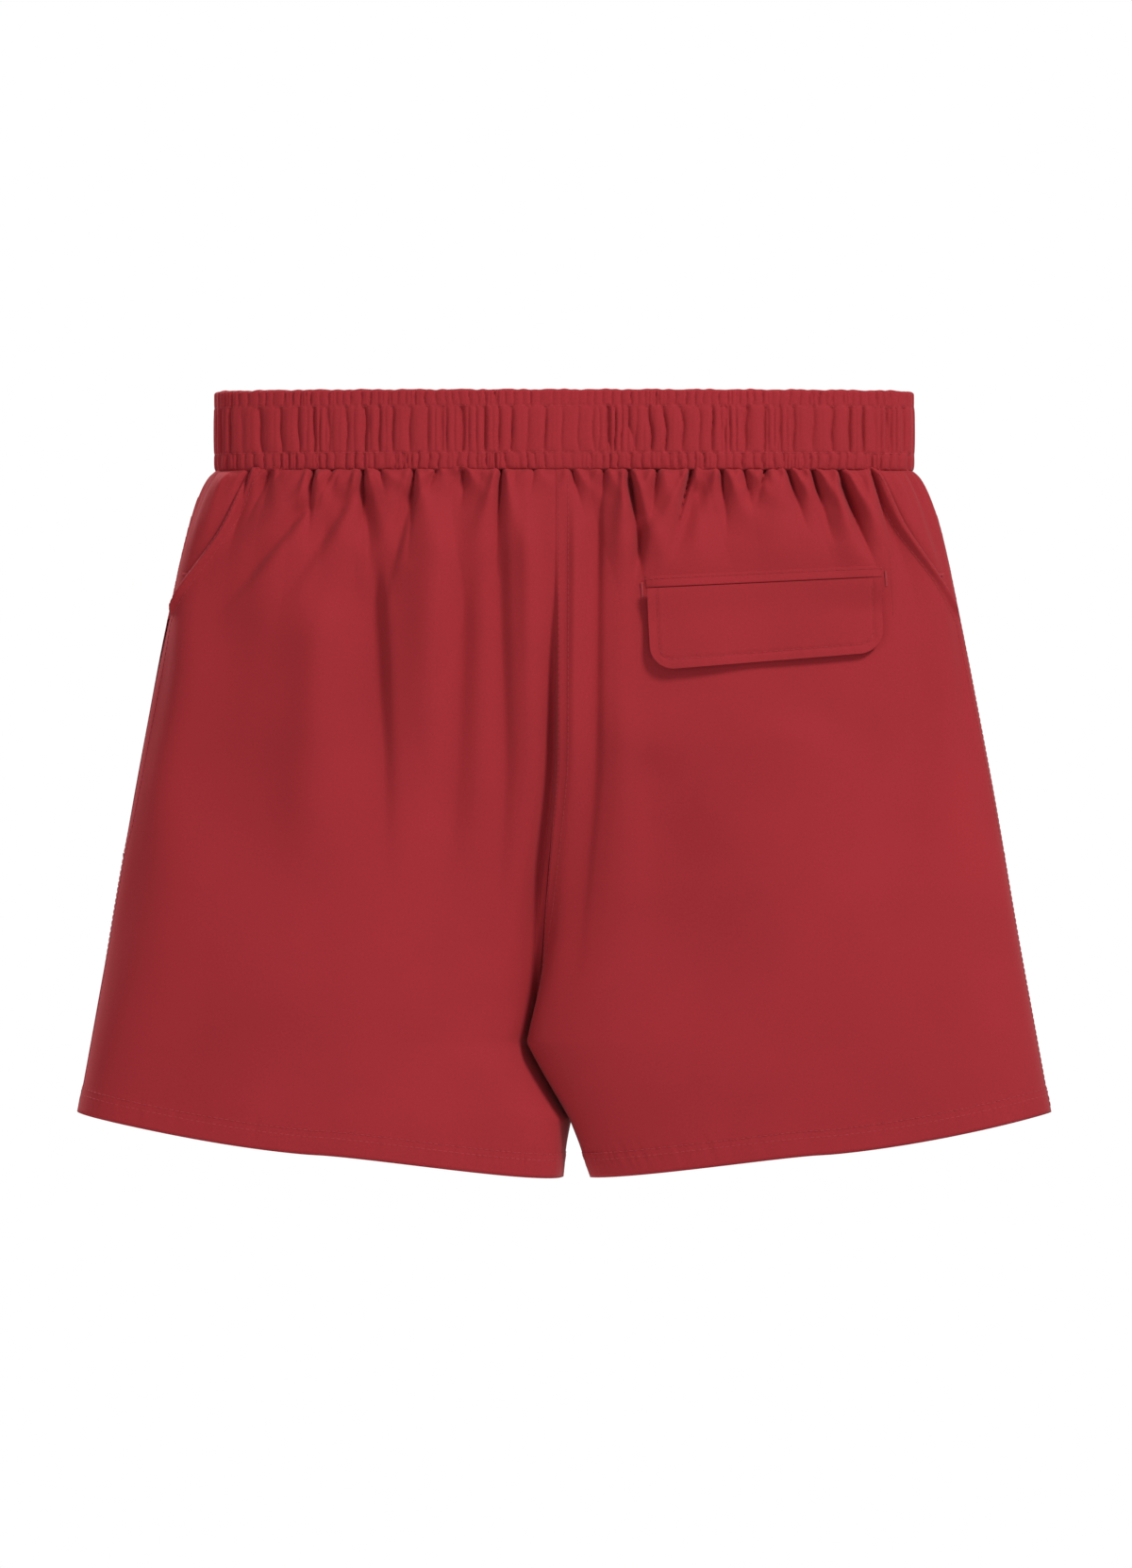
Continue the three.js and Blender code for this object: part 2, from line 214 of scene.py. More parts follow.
def seam_turn(drop):
    """Where the side seam runs: on the back near the waistband, then down the side."""
    down = share(drop, BAND_HEIGHT, BAND_HEIGHT + SEAM_DROP)
    top = 2 * math.acos((1 - SEAM_WRAP / BAND_WIDTH) ** (1 / POWER))
    return top * (1 - down**SEAM_CURVE) ** SEAM_EASE


# ------------------------------------------------------------------ folds and gathers
# The gathers run down from the waistband. Each layer has a pitch, a height, how far it fades over
# and how rounded it is: 0 is a row of puffs between sharp creases, 1 is a soft wave.
GATHERS = [
    (19 * MM, 2.6 * MM, 30 * MM, 0.5),
    (44 * MM, 5.5 * MM, 95 * MM, 0.7),
    (93 * MM, 4.4 * MM, 240 * MM, 1.0),
]
PUCKER_PITCH = 7 * MM
PUCKER_HEIGHT = 2.2 * MM
PUCKER_REACH = 4.5 * MM
GATHER_RISE = 2.5 * MM  # how soon the gathers open below the waistband's seam
# The cloth stands out just under the waistband: how far, how soon and how far down.
POUCH = 2.3 * MM
POUCH_RISE = 2.5 * MM
POUCH_FADE = 16 * MM

FOLD_GAIN = 1.8
# Single folds on the back: from (x, drop) to (x, drop), widths on the left and right, height
# (minus is a valley).
FOLDS = [
    (-106, 50, -99, 116, 3, 9, -2.4),
    (-80, 50, -97, 118, 9, 3, -2.2),
    (-99, 95, -93, 270, 18, 5, -3.4),
    (-66, 60, -74, 270, 14, 9, 2.6),
    (-134, 60, -188, 122, 8, 4, -2.6),
    (-111, 52, -156, 122, 10, 5, -2.4),
    (-128, 110, -140, 300, 14, 14, 2.0),
    (-35, 70, -28, 330, 8, 5, -2.2),
    (-52, 100, -64, 340, 14, 8, -1.8),
    (-20, 60, -18, 250, 6, 6, 1.2),
    (6, 60, 4, 330, 4, 6, 1.4),
    (17, 55, 16, 330, 8, 3, -2.0),
    (31, 55, 30, 330, 8, 10, 1.6),
    (34, 45, 42, 80, 3, 3, -1.8),
    (42, 72, 35, 118, 3, 3, -2.6),
    (71, 50, 56, 100, 3, 6, -2.6),
    (143, 47, 165, 96, 3, 7, -2.8),
    (172, 60, 190, 200, 10, 10, -1.2),
    (196, 150, 150, 330, 30, 20, -1.6),
    (130, 170, 80, 330, 34, 30, 1.6),
    (45, 190, 60, 330, 14, 26, -1.6),
    (-170, 190, -130, 340, 30, 30, -0.7),
]
# Sharp pleats that start in the waistband's seam: x there, x and drop at the end, depth.
PLEATS = [
    (-166, -176, 80, 2.2),
    (-155, -168, 70, 2.4),
    (-132, -135, 80, 3.8),
    (-122, -131, 64, 2.2),
    (-106, -107, 92, 3.8),
    (-97, -94, 57, 2.0),
    (-79, -82, 88, 3.4),
    (-67, -75, 60, 2.0),
    (-53, -54, 62, 2.4),
    (-33, -36, 96, 4.0),
    (-16, -18, 58, 1.4),
    (4, 11, 68, 2.2),
    (21, 19, 66, 2.4),
    (34, 42, 104, 4.4),
    (49, 45, 72, 3.4),
    (67, 54, 96, 4.2),
    (83, 86, 76, 3.8),
    (95, 99, 64, 3.2),
    (106, 101, 62, 3.2),
    (118, 128, 74, 4.2),
    (131, 141, 78, 4.2),
    (145, 166, 98, 4.4),
    (162, 178, 92, 3.2),
]
PLEAT_DEPTH = 1.7
PLEAT_START = 0.9 * MM
PLEAT_END = 4.5 * MM
CALM = (105 * MM, 133 * MM, 88 * MM, 43 * MM)  # the flap's pocket keeps its part of the back flat
# The deep fold beside the centre seam: its depth, widths on the left and right, how far its bottom
# lies beside the seam, and where it sets in and fades out.
CREASE_DEPTH = 8.5 * MM
CREASE_LEFT = 6.5 * MM
CREASE_RIGHT = 1.4 * MM
CREASE_SHIFT = 1.2 * MM
CREASE_START = (75 * MM, 190 * MM)
CREASE_END = (240 * MM, 335 * MM)
# The front's folds are the back's, mirrored, moved over and softer, with gathers of its own.
FRONT_SHIFT = 9 * MM
FRONT_FOLDS = 0.6
FRONT_GATHERS = 1.37
# Slow ripples over the body: their height, their width and length, and where they set in.
RIPPLE = 0.9 * MM
RIPPLE_SIZE = (38 * MM, 70 * MM)
RIPPLE_DROPS = (80 * MM, 160 * MM)
# The sides swell out a little: how far, over how much of the turn, at which drop and how far round it.
SIDE_SWELL = 2.2 * MM
SIDE_TURN = 0.5
SWELL_DROP = 180 * MM
SWELL_REACH = 110 * MM
# The side seam's roll: its height, distance from the seam and width, the front's tuck beside it, how
# far the front laps under the back, and over what length that changes at the pocket's mouth.
SEAM_LIFT = 2.8 * MM
SEAM_ROLL = 2.8 * MM
SEAM_REACH = 2.4 * MM
SEAM_TUCK = 0.2 * MM
SEAM_LAP = 1.6 * MM
LAP_EASE = 7 * MM
CENTRE_TUCK = 0.2 * MM  # the left panel lies this far under the right one at the centre seam
CENTRE_TUCK_WIDTH = 2 * MM
HEM_DEPTH = 13 * MM
HEM_ROWS = [9.5 * MM, 12.8 * MM]
HEM_TURNED = 0.5 * MM
HEM_PUCKER = 0.22 * MM
HEM_DRAW = 0.3 * MM  # how far the stitches draw the cloth in


def creases(phase, pitch, width):
    """A row of narrow creases, -1 in each and 0 between them."""
    away = np.abs(phase - np.round(phase)) * pitch
    return -np.exp(-away / width)


def wave(phase, roundness):
    """A row of puffs, from 0 in a crease to 1, with the given roundness."""
    puff = np.abs(np.sin(math.pi * phase)) ** 0.6
    soft = 0.5 - 0.5 * np.cos(2 * math.pi * phase)
    return lerp(puff, soft, roundness)


def gathers(u, drop):
    """The gathers' height at a distance u round the waist."""
    below = drop - BAND_HEIGHT
    total = 0
    for i, (pitch, height, fade, roundness) in enumerate(GATHERS):
        drift = 0.25 * noise(drop / (60 * MM) + i, 3 + i)
        phase = u / pitch + 0.42 * noise(u / pitch / 2.3, i + 1) + drift
        size = 0.65 + 0.5 * noise(u / pitch / 1.7, i + 7)
        reach = fade * (1 + 0.45 * noise(u / pitch / 1.3, i + 15))
        total = total + height * size * np.exp(-below / reach) * (wave(phase, roundness) - 0.45)
    phase = u / PUCKER_PITCH + 0.4 * noise(u / PUCKER_PITCH / 1.9, 11)
    reach = PUCKER_REACH * (1 + 0.6 * noise(u / (8 * MM), 12))
    fine = PUCKER_HEIGHT * creases(phase, PUCKER_PITCH, 0.8 * MM + 0.2 * below)
    return (total + fine * np.exp(-below / reach)) * (1 - np.exp(-below / GATHER_RISE))


def fold(x, drop, x0, drop0, x1, drop1, left, right, height):
    along = np.array([x1 - x0, drop1 - drop0]) * MM
    length = np.hypot(*along)
    t = ((x - x0 * MM) * along[0] + (drop - drop0 * MM) * along[1]) / length**2
    away = ((x - x0 * MM) * along[1] - (drop - drop0 * MM) * along[0]) / length
    away = away + 1.5 * MM * noise(t * 3, x0)
    spread = np.where(away < 0, left, right) * MM * (0.75 + 0.5 * np.clip(t, 0, 1))
    taper = smooth(t, -0.06, 0.12) * (1 - smooth(t, 0.25, 1.05))
    return FOLD_GAIN * height * MM * np.exp(-((away / spread) ** 2)) * taper


def pleat(x, drop, x0, x1, drop1, depth):
    """A crease that is narrow and deep in the seam and opens out below, with a roll beside it."""
    t = (drop - BAND_HEIGHT) / (drop1 * MM - BAND_HEIGHT)
    middle = lerp(x0, x1, np.clip(t, 0, 1.2)) * MM + 1.2 * MM * noise(t * 2.2, x0) * np.clip(t, 0, 1)
    width = lerp(PLEAT_START, PLEAT_END, np.clip(t, 0, 1.2) ** 1.3)
    away = np.abs(x - middle)
    faded = (1 - share(t, 0.05, 1.15)) * smooth(t, -0.06, 0.05)
    depth = depth * PLEAT_DEPTH
    crease = -depth * MM * np.exp(-(away / width))
    roll = 0.35 * depth * MM * np.exp(-(((away - 3.5 * width) / (2 * width)) ** 2))
    return (crease + roll) * faded


def crease(side, turn, drop):
    """The deep fold beside the centre seam, on the left seen from behind."""
    x, _ = skin(side, turn, drop)
    away = np.sign(turn) * (x - centre_x(drop)) + CREASE_SHIFT
    spread = np.where(away < 0, CREASE_LEFT, CREASE_RIGHT)
    ends = smooth(drop, *CREASE_START) * (1 - smooth(drop, *CREASE_END))
    return -CREASE_DEPTH * np.exp(-((away / spread) ** 2)) * ends


def relief(side, turn, drop):
    """How far the cloth stands off the mean surface."""
    u = side * (math.pi - np.abs(turn)) / math.pi * HALF_GIRTH
    back = turn > 0
    u = np.where(back, u, u + FRONT_GATHERS)
    rise = gathers(u, drop)
    below = drop - BAND_HEIGHT
    rise = rise + POUCH * np.exp(-below / POUCH_FADE) * (1 - np.exp(-below / POUCH_RISE))
    x, _ = skin(side, turn, drop)
    x = np.where(back, x, -x + FRONT_SHIFT)
    marks = sum(fold(x, drop, *f) for f in FOLDS)
    rise = rise + np.where(back, marks, FRONT_FOLDS * marks) + sum(pleat(x, drop, *p) for p in PLEATS)
    width, height = RIPPLE_SIZE
    ripple = noise(u / width, 21) * noise(drop / height, 22)
    rise = rise + RIPPLE * ripple * smooth(drop, *RIPPLE_DROPS)
    at_side = np.exp(-((turn / SIDE_TURN) ** 2))
    swell = SIDE_SWELL * at_side * np.exp(-(((drop - SWELL_DROP) / SWELL_REACH) ** 2))
    rise = rise * (1 - 0.6 * at_side) + swell
    rise = rise + crease(side, turn, drop)
    calm_x, calm_drop, reach_x, reach_drop = CALM
    near = np.exp(-(((x - calm_x) / reach_x) ** 6) - ((drop - calm_drop) / reach_drop) ** 6)
    near = near * smooth(x, 2 * MM, 20 * MM)
    rise = rise * np.where(back & (side > 0), 1 - 0.8 * near, 1)
    return rise


def seam_relief(side, turn, drop, face):
    """The back's edge rolls over along the side seam and the front tucks in under it. At the centre
    seam the left panel tucks in under the right one."""
    at = seam_turn(drop)
    x, y = skin(side, turn, drop)
    x0, y0 = skin(side, at, drop)
    away = np.hypot(x - x0, y - y0)
    wrap = smooth(at, 0.02, 0.2)
    if face == BACK:
        from_centre = (x - inner_x(side, drop)) / CENTRE_TUCK_WIDTH
        under = CENTRE_TUCK * (side < 0) * np.exp(-(from_centre**2))
        return SEAM_LIFT * np.exp(-(((away - SEAM_ROLL) / SEAM_REACH) ** 2)) * wrap - under
    return -SEAM_TUCK * np.exp(-((away / (2 * SEAM_REACH)) ** 2)) * wrap


def hem_relief(above, turn):
    """The turned-up hem is a little thicker, and its stitching draws it in."""
    turned = HEM_TURNED * (1 - smooth(above, HEM_DEPTH - 0.5 * MM, HEM_DEPTH + 1.2 * MM))
    pucker = HEM_PUCKER * noise(turn * 50, 31) * np.exp(-(((above - 10 * MM) / (6 * MM)) ** 2))
    pucker = pucker * smooth(np.abs(turn), 0.3, 0.9)
    rows = sum(np.exp(-(((above - row) / (0.9 * MM)) ** 2)) for row in HEM_ROWS)
    return turned + pucker - HEM_DRAW * rows


def hem_drop(turn):
    """How far the hem hangs below the waistband's seam."""
    leg = (1 - np.cos(turn)) / 2
    return lerp(INNER_LENGTH, SIDE_LENGTH, (1 - leg) ** HEM_CURVE)


def shell(side, turn, drop, lift=0.0, face=BACK):
    """Points of the cloth's outer face, as an array of (x, y, z)."""
    turn, drop = np.broadcast_arrays(np.array(turn, float), np.array(drop, float))
    x, y = skin(side, turn, drop)
    nx, ny = outward(side, turn, drop)
    above = BAND_HEIGHT + hem_drop(turn) - drop
    off = relief(side, turn, drop) + seam_relief(side, turn, drop, face)
    off = off + hem_relief(above, turn) + lift
    x, y = x + nx * off, y + ny * off
    lean = LEAN * smooth(drop, LEAN_START, CROTCH) * (1 - LEAN_LOST * smooth(drop, *LEAN_EASE))
    x = x + lean * y * np.exp(-(((x - centre_x(drop)) / LEAN_WIDTH) ** 2))
    return np.stack([x, y, -drop], axis=-1)


# ------------------------------------------------------------------ meshes
def grid_mesh(name, points, uv, closed=False):
    """A mesh over an array of points, rows by columns. closed joins the last column to the first."""
    rows, columns = points.shape[:2]
    quads = []
    for r in range(rows - 1):
        for c in range(columns if closed else columns - 1):
            d = (c + 1) % columns
            here, below = r * columns, (r + 1) * columns
            quads.append((here + c, below + c, below + d, here + d))
    mesh = bpy.data.meshes.new(name)
    mesh.from_pydata(points.reshape(-1, 3).tolist(), [], quads)
    layer = mesh.uv_layers.new(name="cloth")
    flat = uv.reshape(-1, 2)
    ids = np.zeros(len(mesh.loops), int)
    mesh.loops.foreach_get("vertex_index", ids)
    layer.data.foreach_set("uv", flat[ids].astype(np.float32).ravel())
    mesh.polygons.foreach_set("use_smooth", [True] * len(mesh.polygons))
    return mesh


def lengths(points, axis):
    """Distance along the rows (axis 0) or columns (axis 1) of an array of points."""
    steps = np.linalg.norm(np.diff(points, axis=axis), axis=-1)
    pad = [(0, 0), (0, 0)]
    pad[axis] = (1, 0)
    return np.cumsum(np.pad(steps, pad), axis=axis)


def piece(name, mesh, material, body="shorts", nodes=()):
    o = bpy.data.objects.new(name, mesh)
    bpy.context.scene.collection.objects.link(o)
    mesh.materials.append(material)
    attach(o, body)
    if nodes:
        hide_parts(*nodes)
    return o


def thicken(o, thickness):
    m = o.modifiers.new("ply", "SOLIDIFY")
    m.thickness = thickness
    m.offset = -1
    m.use_even_offset = False


def thickened(name, mesh, material, nodes, thickness=CLOTH):
    """A cloth piece of the given thickness, behind the mesh."""
    o = piece(name, mesh, material, nodes=nodes)
    thicken(o, thickness)
    return o


def facing(mesh, direction):
    """Turns the faces so that they look along direction on average."""
    total = Vector((0, 0, 0))
    for p in mesh.polygons:
        total += p.normal * p.area
    if total.dot(Vector(direction)) < 0:
        mesh.flip_normals()
    return mesh


# ------------------------------------------------------------------ materials
def material(name, colour, roughness=0.85, sheen=0.05, weave=0.55 * MM, bump=0.3, mottle=0.13):
    """Plain-woven cloth: threads across and along, a little colour variation, and a soft sheen."""
    m = bpy.data.materials.new(name)
    m.use_nodes = True
    nodes, links = m.node_tree.nodes, m.node_tree.links
    shader = nodes["Principled BSDF"]
    shader.inputs["Roughness"].default_value = roughness
    shader.inputs["Specular IOR Level"].default_value = 0.15
    shader.inputs["Sheen Weight"].default_value = sheen
    shader.inputs["Sheen Roughness"].default_value = 0.45
    uv = nodes.new("ShaderNodeUVMap")
    uv.uv_map = "cloth"
    where = nodes.new("ShaderNodeTexCoord")

    def wave_texture(direction):
        w = nodes.new("ShaderNodeTexWave")
        w.wave_type = "BANDS"
        w.bands_direction = direction
        w.inputs["Scale"].default_value = math.pi / 10 / weave
        w.inputs["Distortion"].default_value = 0.6
        w.inputs["Detail"].default_value = 1
        links.new(uv.outputs["UV"], w.inputs["Vector"])
        return w

    def noise_texture(scale, detail, source):
        n = nodes.new("ShaderNodeTexNoise")
        n.inputs["Scale"].default_value = scale
        n.inputs["Detail"].default_value = detail
        links.new(source, n.inputs["Vector"])
        return n

    across, along = wave_texture("X"), wave_texture("Y")
    threads = nodes.new("ShaderNodeMath")
    threads.operation = "MAXIMUM"
    links.new(across.outputs["Fac"], threads.inputs[0])
    links.new(along.outputs["Fac"], threads.inputs[1])
    slub = noise_texture(900, 2, uv.outputs["UV"])
    cloud = noise_texture(14, 3, where.outputs["Object"])
    base = np.array(colour)
    ramp = nodes.new("ShaderNodeValToRGB")
    ramp.color_ramp.elements[0].position = 0.25
    ramp.color_ramp.elements[1].position = 0.75
    ramp.color_ramp.elements[0].color = (*(base * (1 - mottle)), 1)
    ramp.color_ramp.elements[1].color = (*(base * (1 + mottle)), 1)
    mix = nodes.new("ShaderNodeMix")
    mix.data_type = "FLOAT"
    mix.inputs["Factor"].default_value = 0.45
    links.new(slub.outputs["Fac"], mix.inputs["A"])
    links.new(cloud.outputs["Fac"], mix.inputs["B"])
    links.new(mix.outputs["Result"], ramp.inputs["Fac"])
    darker = nodes.new("ShaderNodeMix")
    darker.data_type = "RGBA"
    darker.blend_type = "MULTIPLY"
    gaps = nodes.new("ShaderNodeMapRange")
    gaps.inputs["From Min"].default_value = 0.35
    gaps.inputs["From Max"].default_value = 0.0
    gaps.inputs["To Max"].default_value = 0.28
    links.new(threads.outputs["Value"], gaps.inputs["Value"])
    links.new(gaps.outputs["Result"], darker.inputs["Factor"])
    links.new(ramp.outputs["Color"], darker.inputs["A"])
    darker.inputs["B"].default_value = (0.35, 0.35, 0.35, 1)
    links.new(darker.outputs["Result"], shader.inputs["Base Color"])
    relief_node = nodes.new("ShaderNodeBump")
    relief_node.inputs["Strength"].default_value = bump
    relief_node.inputs["Distance"].default_value = 0.15 * MM
    links.new(threads.outputs["Value"], relief_node.inputs["Height"])
    links.new(relief_node.outputs["Normal"], shader.inputs["Normal"])
    return m


RED = (0.33, 0.022, 0.029)
shell_cloth = material("shell_cloth", RED)
pocket_cloth = material("pocket_cloth", (0.26, 0.026, 0.033), weave=0.7 * MM)
elastic_cloth = material("elastic_cloth", (0.72, 0.69, 0.62), weave=1.4 * MM, bump=0.5)
thread_cloth = material("thread", (0.42, 0.045, 0.055), roughness=0.7, weave=0.3 * MM, mottle=0.05)


# ------------------------------------------------------------------ panels
def half_mouth(drop):
    opened = smooth(drop, MOUTH_TOP, MOUTH_TOP + MOUTH_TAPER)
    shut = smooth(drop, MOUTH_BOTTOM - MOUTH_TAPER, MOUTH_BOTTOM)
    return lerp(0.1 * MM, MOUTH_GAP / 2, opened * (1 - shut))


COLUMNS = {BACK: 280, FRONT: 190}
ROWS = {BACK: 210, FRONT: 170}
CENTRE_CROWDING = 1.6  # more columns near the centre line, where the deep fold is
TOP_TUCK = 1.5 * MM  # the panels reach this far up behind the waistband's lower edge


def panel_params(side, face, columns, rows):
    v = np.linspace(0, 1, rows)[:, None] ** 1.25
    top = BAND_HEIGHT - TOP_TUCK
    side_drop = lerp(top, BAND_HEIGHT + SIDE_LENGTH, v)
    seam = seam_turn(side_drop)
    start = turn_beyond(side, seam, side_drop, half_mouth(side_drop), face)
    if face == FRONT:
        lap = turn_beyond(side, seam, side_drop, SEAM_LAP, BACK)
        part = smooth(side_drop, MOUTH_TOP - LAP_EASE, MOUTH_TOP + LAP_EASE)
        part = part * (1 - smooth(side_drop, MOUTH_BOTTOM - LAP_EASE, MOUTH_BOTTOM + LAP_EASE))
        start = lerp(lap, start, part)
    end = turn_beyond(side, face * math.pi + 0 * side_drop, side_drop, 0.05 * MM, -face)
    turn = lerp(start, end, 1 - np.linspace(1, 0, columns)[None, :] ** CENTRE_CROWDING)
    drop = lerp(top, BAND_HEIGHT + hem_drop(turn), v)
    return turn, drop


def flap_place(along, up):
    """x and drop at a distance along and above the flap's hinge line."""
    x = PIN.x + along * HINGE_ALONG.x - up * HINGE_ALONG.z
    drop = -(PIN.z + along * HINGE_ALONG.z + up * HINGE_ALONG.x)
    return x, drop


PIN = Vector(HINGE["pos_m"])
HINGE_ALONG = -Vector(HINGE["axis"]).normalized()  # towards the side of the body
HINGE_OUT = Vector((HINGE_ALONG.y, -HINGE_ALONG.x, 0)).normalized()
HINGE_UP = HINGE_ALONG.cross(HINGE_OUT) * -1
FLAP_WIDTH = 124 * MM
FLAP_HEIGHT = 40 * MM
FLAP_CORNER = 13 * MM
FLAP_THICK = 1.5 * MM
FLAP_RISE = 4 * MM  # its lower edge rises this much towards the side of the body
FLAP_TOP = 1.2 * MM  # it reaches this far up under the welt
FLAP_CLEAR = 0.8 * MM  # between the body's cloth and the flap's underside
FLAP_INSET = 5 * MM  # from the flap's edge to its row of stitches
SLIT_WIDTH = 104 * MM
SLIT_TOP = -2 * MM
SLIT_LOW = -11 * MM
WELT_HEIGHT = 8 * MM


def cut_slit(mesh):
    """Opens the rear pocket's slit; the welts cover its edges."""
    bm = bmesh.new()
    bm.from_mesh(mesh)
    gone = []
    for f in bm.faces:
        c = f.calc_center_median() - PIN
        along = c.dot(HINGE_ALONG)
        up = c.dot(HINGE_UP)
        if abs(along) < SLIT_WIDTH / 2 and SLIT_LOW < up < SLIT_TOP and c.y < 0.03:
            gone.append(f)
    bmesh.ops.delete(bm, geom=gone, context="FACES")
    bm.to_mesh(mesh)
    bm.free()


SIDES = ((LEFT, "left"), (RIGHT, "right"))
FACES = ((BACK, "back"), (FRONT, "front"))


def panel(side, word, face, end):
    name = f"{end}_cloth_{word}"
    turn, drop = panel_params(side, face, COLUMNS[face], ROWS[face])
    points = shell(side, turn, drop, face=face)
    uv = np.stack([lengths(points, 1), -drop], axis=-1)
    mesh = facing(grid_mesh(name, points, uv), (0, -face, 0))
    if side == RIGHT and face == BACK:
        cut_slit(mesh)
    o = thickened(name, mesh, shell_cloth, [f"{end}_panel_{word}"])


for side, word in SIDES:
    for face, end in FACES:
        panel(side, word, face, end)


# ------------------------------------------------------------------ waistband
ROW_UPPER = 9.5 * MM
ROW_LOWER = 34 * MM
BAND_EDGES = [0.3 * MM, ROW_UPPER, ROW_LOWER, BAND_HEIGHT]
# Pitch of the ribs, their height and how far the channel puffs out.
BAND_CHANNELS = [
    (4.7 * MM, 0.9 * MM, 0.2 * MM),
    (8.8 * MM, 2.2 * MM, 0.5 * MM),
    (5.0 * MM, 1.3 * MM, 0.3 * MM),
]
BAND_COLUMNS = 1600
BAND_LIFT = 0.8 * MM
BAND_LEAST = -0.95 * MM  # the creases stop short of the elastic
BAND_TOP = 2.2 * MM  # where the outer ply turns over the top
BAND_INNER = -5.0 * MM  # from the mean outer face to the inner ply
BAND_RISE = 1.5 * MM  # how high the fold at the top is
BAND_SCALLOP = 0.35 * MM
FOLD_STEPS = 8


def band_point(angle, grow):
    x = (BAND_WIDTH + grow) * squarer(np.cos(angle))
    return x, (BAND_DEPTH + grow) * squarer(np.sin(angle))


def band_angles(count):
    """Angles round the band, evenly spaced along its length."""
    angle = np.linspace(0, 2 * math.pi, 6000)
    x, y = band_point(angle, 0)
    far = np.concatenate([[0], np.cumsum(np.hypot(np.diff(x), np.diff(y)))])
    return np.interp(np.linspace(0, far[-1], count, endpoint=False), far, angle), far[-1]


def band_relief(angle, u, drop):
    """The gathered outer ply: three channels between two rows of stitches. Narrow creases part
    wide, rounded puffs in the middle channel; the outer two are finely ribbed."""
    x, _ = band_point(angle, 0)
    plain = np.exp(-(((x - 2 * MM) / (13 * MM)) ** 4)) * (np.sin(angle) < 0)
    total = 0
    for i, (pitch, height, puff) in enumerate(BAND_CHANNELS):
        v = share(drop, BAND_EDGES[i], BAND_EDGES[i + 1])
        inside = (drop >= BAND_EDGES[i]) & (drop < BAND_EDGES[i + 1])
        arch = np.clip(4 * v * (1 - v), 0, 1) ** 0.25
        sway = 0.10 * noise(v * 2.5 + u / (30 * MM), 40 + i)
        phase = u / pitch + 0.32 * noise(u / pitch / 1.7, 50 + i) + sway
        size = np.clip(0.75 + 0.55 * noise(u / pitch / 0.9, 60 + i), 0.1, 1.3)
        ribs = size * creases(phase, pitch, 0.1 * pitch)
        ribs = ribs + 0.22 * (np.abs(np.sin(math.pi * phase)) - 0.5)
        small = u / (0.43 * pitch) + 0.4 * noise(u / pitch, 80 + i) - sway
        part = np.clip(noise(u / (1.3 * pitch), 85 + i), 0, 1) + 0.1
        ribs = ribs + 0.85 * part * creases(small, 0.43 * pitch, 0.07 * pitch)
        total = total + np.where(inside, arch * (puff + height * ribs * (1 - 0.7 * plain)), 0)
    rows = sum(np.exp(-(((drop - r) / (0.7 * MM)) ** 2)) for r in (ROW_UPPER, ROW_LOWER))
    pucker = 0.25 * MM * noise(u / (1.6 * MM), 90)
    return total + rows * (pucker - 0.15 * MM)


def band_surface(angle, u, drop, lift=0.0):
    off = np.maximum(BAND_LIFT + band_relief(angle, u, drop), BAND_LEAST) + lift
    off = off - 0.8 * MM * np.exp(-(BAND_HEIGHT - drop) / (1.4 * MM))
    x, y = band_point(angle, 0)
    x1, y1 = band_point(angle + 2e-3, 0)
    x0, y0 = band_point(angle - 2e-3, 0)
    length = np.hypot(x1 - x0, y1 - y0)
    return x + off * (y1 - y0) / length, y - off * (x1 - x0) / length


def waistband():
    angle, girth = band_angles(BAND_COLUMNS)
    u = np.arange(BAND_COLUMNS) * girth / BAND_COLUMNS
    rows = []
    for drop in np.linspace(BAND_HEIGHT, BAND_TOP, 56):
        x, y = band_surface(angle, u, drop + 0 * u)
        rows.append(np.stack([x, y, -drop + 0 * x], axis=-1))
    # Over the fold at the top, then down the inner ply.
    x, y = band_surface(angle, u, BAND_TOP + 0 * u)
    xi, yi = band_point(angle, BAND_INNER)
    rise = BAND_RISE + BAND_SCALLOP * noise(u / (3.1 * MM), 95)
    for k in range(1, FOLD_STEPS):
        a = math.pi * k / FOLD_STEPS
        t = (1 - math.cos(a)) / 2
        z = -BAND_TOP + rise * math.sin(a)
        rows.append(np.stack([lerp(x, xi, t), lerp(y, yi, t), z], axis=-1))
    for drop in np.linspace(BAND_TOP, BAND_HEIGHT, 16):
        ribs = 0.5 * (band_relief(angle, u + 0.4, drop + 0 * u) - 0.4 * MM)
        xi, yi = band_point(angle, BAND_INNER - ribs * 0.6)
        rows.append(np.stack([xi, yi, -drop + 0 * xi], axis=-1))
    points = np.stack(rows)
    along = np.broadcast_to(u, points.shape[:2])
    uv = np.stack([along, lengths(points, 0)], axis=-1)
    return grid_mesh("waistband_cloth", points, uv, closed=True)


def outward_ring(mesh):
    """Turns a ring's faces so that the outer ply looks away from the middle."""
    score = 0
    for p in mesh.polygons[: len(mesh.polygons) // 3]:
        score += p.normal.x * p.center.x + p.normal.y * p.center.y
    if score < 0:
        mesh.flip_normals()
    return mesh


band = thickened("waistband_cloth", outward_ring(waistband()), shell_cloth, ["waistband_casing"])


# ------------------------------------------------------------------ stitches
STITCH_SIDES = 5
STITCH_RINGS = [(-0.5, 0.3), (-0.3, 1.0), (0.3, 1.0), (0.5, 0.3)]  # place along it, and size
STITCH_PROBE = 0.3 * MM  # the row's direction is taken over this far each way


def across_line(t):
    """Two directions at right angles to t."""
    a = np.cross(t, [0.31, 0.2, 0.93])
    if np.linalg.norm(a) < 0.1:
        a = np.cross(t, [1, 0, 0])
    a = a / np.linalg.norm(a)
    return a, np.cross(t, a)


